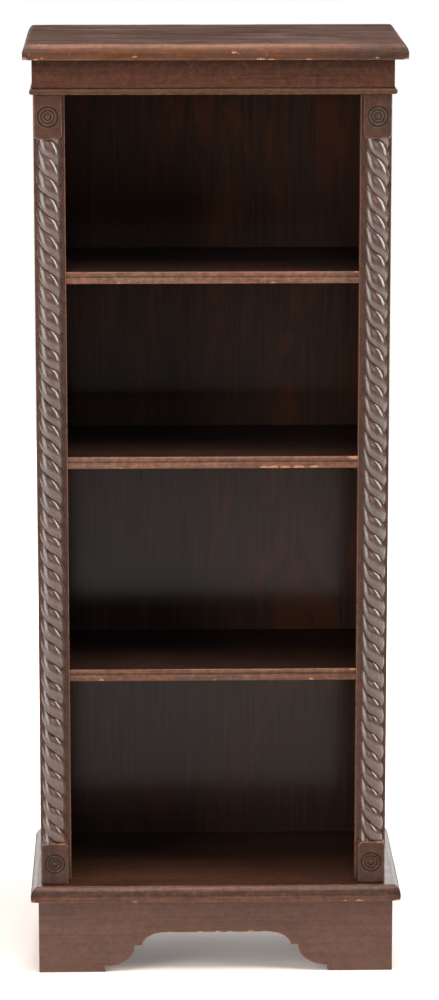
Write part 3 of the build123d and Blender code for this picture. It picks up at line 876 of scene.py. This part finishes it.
class Rope:
    """One carved half-rope between its two blocks, standing on the plane y = back."""

    def __init__(self, low, high, seed):
        self.middle = (low.x + high.x) / 2
        self.back = high.y
        self.bottom = low.z + BLOCK_HEIGHT
        self.top = high.z - BLOCK_HEIGHT
        self.seed = seed
        self.lean = STRAND_SPACING * ROPE_STARTS / (2 * math.pi)

    def drift(self, turn, z):
        """The carver's unevenness, in strands."""
        slow = noise.noise(Vector((turn * 0.5, z / 90, self.seed)))
        quick = noise.noise(Vector((turn * 0.9, z / 23, self.seed + 5)))
        return 0.10 * slow + 0.07 * quick

    def climb(self, turn):
        """The carved twist is flatter across the front of the half-rope than at its sides."""
        return self.lean * (0.78 * turn + 0.06 * turn ** 3)

    def strand(self, turn, z):
        """How many strands up the rope a point is."""
        return (z - self.bottom + self.climb(turn)) / STRAND_SPACING + self.drift(turn, z)

    def height_of(self, strand, turn):
        """Where a line of constant strand number crosses a given turn."""
        z = self.bottom + STRAND_SPACING * strand - self.climb(turn)
        for _ in range(4):
            z = self.bottom + STRAND_SPACING * (strand - self.drift(turn, z)) - self.climb(turn)
        return z

    def radius(self, turn, z):
        """The rope's radius at a point, and how far across its strand the point is."""
        number = self.strand(turn, z)
        whole = math.floor(number)
        share = number - whole
        own = random.Random(whole * 13 + int(self.seed * 100))
        crest = ROPE_RADIUS - 0.15 - 0.45 * own.random()
        valley = ROPE_VALLEY + 0.5 * own.random()
        skew = share ** (1.0 + 0.15 * (own.random() - 0.5))
        bulge = 1 - abs(2 * skew - 1) ** 2.2
        lump = 0.14 * noise.noise(Vector((turn * 2.2, z / 6.5, self.seed + 9)))
        return valley + (crest - valley) * bulge ** 0.8 + lump * bulge, share

    def place(self, turn, z):
        radius, share = self.radius(turn, z)
        x = self.middle + 1.08 * radius * math.sin(turn)
        y = self.back - radius * math.cos(turn)
        return Vector((x, y, z)), share

    def build(self, skin):
        turns = [math.radians(a) for a in steps(-90, 90, 6.5)]
        first = math.floor(-self.lean * 1.6 / STRAND_SPACING) - 1
        last = math.ceil((self.top - self.bottom + self.lean * 1.6) / STRAND_SPACING) + 1
        rows = []
        for whole in range(first, last):
            for share in STRAND_ROWS:
                row = []
                for turn in turns:
                    z = min(self.top, max(self.bottom, self.height_of(whole + share, turn)))
                    point, at = self.place(turn, z)
                    edge = min(at, 1 - at)
                    # valley_shade darkens the valleys between strands, more to the right where the light from
                    # the left reaches less into them: painted shade. side darkens the rope's flanks beside
                    # the stile: painted shade.
                    side = ease((abs(turn) - 1.25) / 0.3)
                    valley_shade = math.exp(-(edge / 0.035) ** 2) * (0.2 + 0.5 * ease((turn + 0.7) / 0.9))
                    wear = 0.45 * ease(edge * 3 - 0.3) * (1 - side)
                    row += skin.row([point], wear, max(valley_shade, 0.3 * side), edge=1.0)
                rows.append(row)
        skin.bridge_all(rows)


def roundel(radius, depth):
    """How deep the roundel is cut at a distance from its centre, with a nipple in the middle."""
    groove = max(math.exp(-((radius - ring) / width) ** 2) for ring, width in zip(RING_RADII, RING_WIDTHS))
    nipple = 0.5 * math.exp(-(radius / 1.3) ** 2)
    inside = ease((RING_RADII[-1] + 0.4 - radius) / 0.8)
    return depth * groove + 0.35 * inside - nipple


def block(skin, low, high, bottom, top, rope_end, depth, seed):
    """A square block with a turned roundel in its face. rope_end is the height where the rope meets it."""
    middle, back, front = (low.x + high.x) / 2, high.y, low.y
    half, tall = (high.x - low.x) / 2, (top - bottom) / 2
    centre = (bottom + top) / 2
    arris = 1.0
    neck_radius, corner_radius = 15.6, 22.8
    neck_length = 4.2 if rope_end == bottom else 6.0
    angles = [math.radians(a) for a in steps(0, 360, 3)[:-1]]

    def reach(angle, inset):
        """Distance from the centre to the block's outline, brought in by inset."""
        return min((half - inset) / max(1e-9, abs(math.cos(angle))),
                   (tall - inset) / max(1e-9, abs(math.sin(angle))))

    def turned(x, y, z):
        """Cut the corners away where the lathe has rounded the end of the block towards the rope."""
        away = abs(z - rope_end)
        limit = math.inf
        if away < neck_length:
            limit = neck_radius + (corner_radius - neck_radius) * ease(away / neck_length) ** 0.7
        dx, dy = x - middle, back - y
        far = math.hypot(dx, dy)
        if far > limit:
            x, y = middle + dx * limit / far, back - dy * limit / far
        return Vector((x, y, z))

    def outline(y, inset):
        """A ring round the block at a depth, brought in by inset."""
        return [turned(middle + reach(g, inset) * math.cos(g), y, centre + reach(g, inset) * math.sin(g))
                for g in angles]

    rings = []
    radii = [0.35, 0.9, 1.5, 2.1, 2.7, 3.2, 3.7, 4.2, 4.7, 5.2, 5.9, 6.6, 7.3, 7.9, 8.4, 8.9, 9.6, 10.3, 11.0,
             11.7, 12.1, 12.5, 12.9, 13.5, 14.2]
    wobble = noise.noise(Vector((seed, 1, 2))) * 0.3
    for radius in radii:
        ring = []
        for angle in angles:
            off = roundel(radius, depth) + 0.06 * noise.noise(Vector((radius, angle * 2, seed)))
            x, z = middle + radius * math.cos(angle), centre + wobble + radius * math.sin(angle)
            ring.append(turned(x, front + max(0.0, off), z))
        # Points near the rings' grooves are darkened: painted shade in the grooves.
        near = min(abs(radius - r) for r in RING_RADII)
        wear = 0.6 if near > 1.5 or radius < 1 else 0.0
        rings.append(skin.row(ring, wear, 0.85 * math.exp(-(near / 0.8) ** 2)))
    levels = [("face", 0.35), ("face", 0.7), ("inset", 2.2), ("inset", arris)]
    for kind, value in levels:
        ring = []
        for angle in angles:
            distance = reach(angle, value)
            if kind == "face":
                distance = radii[-1] + (reach(angle, 2.2) - radii[-1]) * value
            x, z = middle + distance * math.cos(angle), centre + distance * math.sin(angle)
            ring.append(turned(x, front, z))
        rings.append(skin.row(ring, 0.5 if value == arris else 0.0))
    for i in range(1, 4):
        a = math.pi / 2 * i / 3
        inset, fall = arris * (1 - math.sin(a)), arris * (1 - math.cos(a))
        rings.append(skin.row(outline(front + fall, inset), 1.0 if i < 3 else 0.5))
    for y in steps(front + arris, back, 2.0)[1:]:
        rings.append(skin.row(outline(y, 0), 0.0, 0.0 if y < back - 2 else 0.5))
    for row in rings[len(radii):]:
        for number in row:
            place = skin.points[number]
            near_end = ease((5.0 - abs(place.z - rope_end)) / 3.0)
            cut = ease((math.hypot(place.x - middle, back - place.y) - 14.9) / 1.0)
            skin.marks["wear"][number] = min(1.0, skin.marks["wear"][number] + 0.75 * near_end * cut)
            skin.marks["bare"][number] = 0.28 * near_end * cut
            if abs(place.z - (bottom if rope_end == top else top)) < 0.8:
                skin.marks["grime_and_shade"][number] = 0.8
    skin.bridge_all(rings, closed=True)
    hub = skin.row([(middle, front, centre + wobble)], 0.3)[0]
    for i, number in enumerate(rings[0]):
        skin.faces.append((hub, rings[0][(i + 1) % len(angles)], number))


def pilaster(side, seed, upper_depth, lower_depth):
    """A rope and its two blocks. The depths are those of the roundels' rings."""
    node = f"rope_pilaster_{side}"
    low, high = span(node)
    rope = Rope(low, high, seed)
    skin = Skin()
    rope.build(skin)
    skin.keep_inside(low, high)
    make_piece(f"visual_{node}", skin, rope_wood, node, join=True, sharp=65)
    ends = {"upper": (rope.top, high.z, rope.top, upper_depth, seed + 1),
            "lower": (low.z, rope.bottom, rope.bottom, lower_depth, seed + 2)}
    for end, shape in ends.items():
        skin = Skin()
        block(skin, low, high, *shape)
        skin.keep_inside(low, high)
        make_piece(f"visual_block_{end}_{side}", skin, block_wood, node, join=True, sharp=65)
    return rope


left_rope = pilaster("left", 1.3, 1.7, 1.4)
right_rope = pilaster("right", 6.1, 1.5, 1.4)


# ---- nail heads, pins and worm holes

def solids(node):
    """The lowest and highest corner of each separate solid in a node, in millimetres."""
    work = bmesh.new()
    work.from_mesh(nodes[node].data)
    bmesh.ops.remove_doubles(work, verts=work.verts, dist=1e-6)
    left = set(work.verts)
    boxes = []
    while left:
        group, edge = set(), [left.pop()]
        while edge:
            vert = edge.pop()
            group.add(vert)
            for link in vert.link_edges:
                other = link.other_vert(vert)
                if other in left:
                    left.discard(other)
                    edge.append(other)
        low = Vector(min(v.co[a] for v in group) for a in range(3)) / MM
        high = Vector(max(v.co[a] for v in group) for a in range(3)) / MM
        boxes.append((low, high))
    work.free()
    return sorted(boxes, key=lambda box: tuple(round(c, 3) for c in box[0]))


def dimples(name, places, material, slot, *replaced):
    """Small round spots set on the front of the wood, each slightly uneven."""
    skin = Skin()
    sides = 14
    for at, radius in places:
        rings = []
        for share, lift in ((0.0, 0.02), (0.45, 0.05), (0.8, 0.06), (1.0, -0.25)):
            ring = []
            for i in range(sides):
                a = math.tau * i / sides
                uneven = 0.12 * noise.noise(Vector((at[0] + math.cos(a), at[2] + math.sin(a), 3)))
                r = radius * share * (1 + uneven)
                ring.append((at[0] + r * math.cos(a), at[1] - lift, at[2] + r * math.sin(a)))
            rings.append(skin.row(ring))
        skin.bridge_all(rings, closed=True)
    make_piece(name, skin, material, *replaced, slot=slot, join=True)


def heads(node):
    """Front middle and radius of each fastening in a node, a little out of line."""
    for low, high in solids(node):
        middle = (low + high) / 2
        at = (middle.x + chance.uniform(-0.8, 0.8), low.y, middle.z + chance.uniform(-1.5, 1.5))
        yield at, (high.x - low.x) / 2


pins = [(at, radius * 1.4) for at, radius in heads("apron_pins")]
dimples("visual_apron_pins", pins, black_wax, "steel", "apron_pins")
dimples("visual_apron_nails", list(heads("apron_nails")), brown_wax, "steel", "apron_nails")
dimples("visual_frieze_nails", list(heads("frieze_nails")), brown_wax, "steel", "frieze_nails")

# Worm holes in the ropes: distance from the rope's middle, and height.
worm_holes = []
hole_circle, hole_radius = 13.5, 0.9
for rope, across, z in ((left_rope, -7.6, 1028.6), (left_rope, 10.4, 873.9), (left_rope, -6.7, 194.8),
                        (right_rope, 4.0, 640.0)):
    point, _ = rope.place(math.asin(across / hole_circle), z)
    worm_holes.append((point, hole_radius))
dimples("worm_holes", worm_holes, black_wax, "mahogany")


# ---- CAD nodes that keep their own shape

def dress(node, material, bevel=0.0):
    """Give a CAD node a worked-up material and softer arrises."""
    thing = nodes[node]
    for place in thing.material_slots:
        place.link = "OBJECT"
        place.material = material
    if bevel:
        soften = thing.modifiers.new("arris", "BEVEL")
        soften.width = bevel * MM
        soften.segments = 2
        soften.limit_method = "ANGLE"
        soften.angle_limit = math.radians(50)


dress("side_panel_left", side_wood, 0.8)
dress("side_panel_right", side_wood, 0.8)
dress("back_panel", back_veneer)
for node in ("head_rail", "back_top_rail", "plinth_back_rail", "plinth_corner_blocks", "top_glue_blocks"):
    dress(node, soft_wood, 0.5)
for node in ("back_panel_pins", "top_screws", "base_screws"):
    dress(node, steel)


# ---- floor, light and camera

def studio_floor():
    """A round pale floor that glows evenly away from the bookcase."""
    mesh = bpy.data.meshes.new("studio_floor")
    work = bmesh.new()
    bmesh.ops.create_circle(work, cap_ends=True, radius=FLOOR_RADIUS, segments=96)
    work.to_mesh(mesh)
    work.free()
    n = Nodes("pale_floor")
    mottle = n.noise(3, detail=4)
    distance = n.add("ShaderNodeVectorMath", operation="LENGTH")
    n.put(n.place, distance.inputs[0])
    far = distance.outputs["Value"]
    pale = n.ramp(mottle, (0.2, (0.78, 0.77, 0.76)), (0.8, (0.82, 0.81, 0.80)))
    # Near the bookcase the floor is tinted warm: painted bounce light from the wood.
    painted_bounce_warmth = (0.78, 0.66, 0.60)
    n.surface(n.mix(n.window(far, 0.3, 0.9), painted_bounce_warmth, pale), n.plus(0.55, n.times(mottle, 0.1)))
    n.bump(n.noise(500, detail=3), 0.1, 0.2)
    # The glow of 0.05 everywhere, under the bookcase too, is painted light that lifts the shade under the
    # arch; the rest rises away from the bookcase.
    glow = n.plus(n.times(n.window(far, 0.6, 1.6), 0.8), n.times(n.window(far, 2.5, 3.1), 0.25))
    n.put(n.plus(0.05, glow), n.shader.inputs["Emission Strength"])
    n.put((1.0, 1.0, 1.0), n.shader.inputs["Emission Color"])
    mesh.materials.append(n.material)
    new_object("studio_floor", mesh)


def softbox(name, place, target, width, height, power):
    """A soft rectangular light aimed at a point. It is not seen itself."""
    light = bpy.data.lights.new(name, "AREA")
    light.shape = "RECTANGLE"
    light.size, light.size_y = width, height
    light.energy = power
    lamp = new_object(name, light)
    lamp.location = place
    lamp.rotation_euler = (Vector(target) - Vector(place)).to_track_quat("-Z", "Y").to_euler()
    lamp.visible_camera = False


studio_floor()
softbox("overhead", (0.0, -0.5, 3.0), (0.0, -0.35, 0.0), 1.8, 1.2, 125)
softbox("right_strip", (1.75, -0.6, 2.0), (0.0, -0.1, 1.6), 0.6, 2.8, 80)
softbox("front_left", (-1.8, -1.3, 1.2), (0.0, -0.1, 0.8), 1.3, 2.2, 54)
softbox("front", (0.2, -4.2, 1.9), (0.0, 0.0, 0.6), 2.4, 1.2, 22)
softbox("backdrop", (0.0, 2.2, 0.7), (0.0, 0.0, 0.6), 4.0, 1.1, 66)

world = bpy.data.worlds.new("white_room")
world.use_nodes = True
background = world.node_tree.nodes["Background"]
background.inputs["Color"].default_value = (1.0, 1.0, 1.0, 1.0)
background.inputs["Strength"].default_value = 1.0
for ray in ("diffuse", "glossy", "transmission", "scatter"):
    setattr(world.cycles_visibility, ray, False)
bpy.context.scene.world = world
bpy.context.scene.view_settings.view_transform = "Standard"

camera = new_object("camera", bpy.data.cameras.new("camera"))
camera.data.sensor_width = 36.0
camera.data.lens = 134.47
camera.data.clip_start = 0.1
camera.location = (-0.0916, -4.565, 1.6034)
camera.rotation_euler = (math.radians(90 - 12.62), 0.0, math.radians(-1.239))
bpy.context.scene.camera = camera
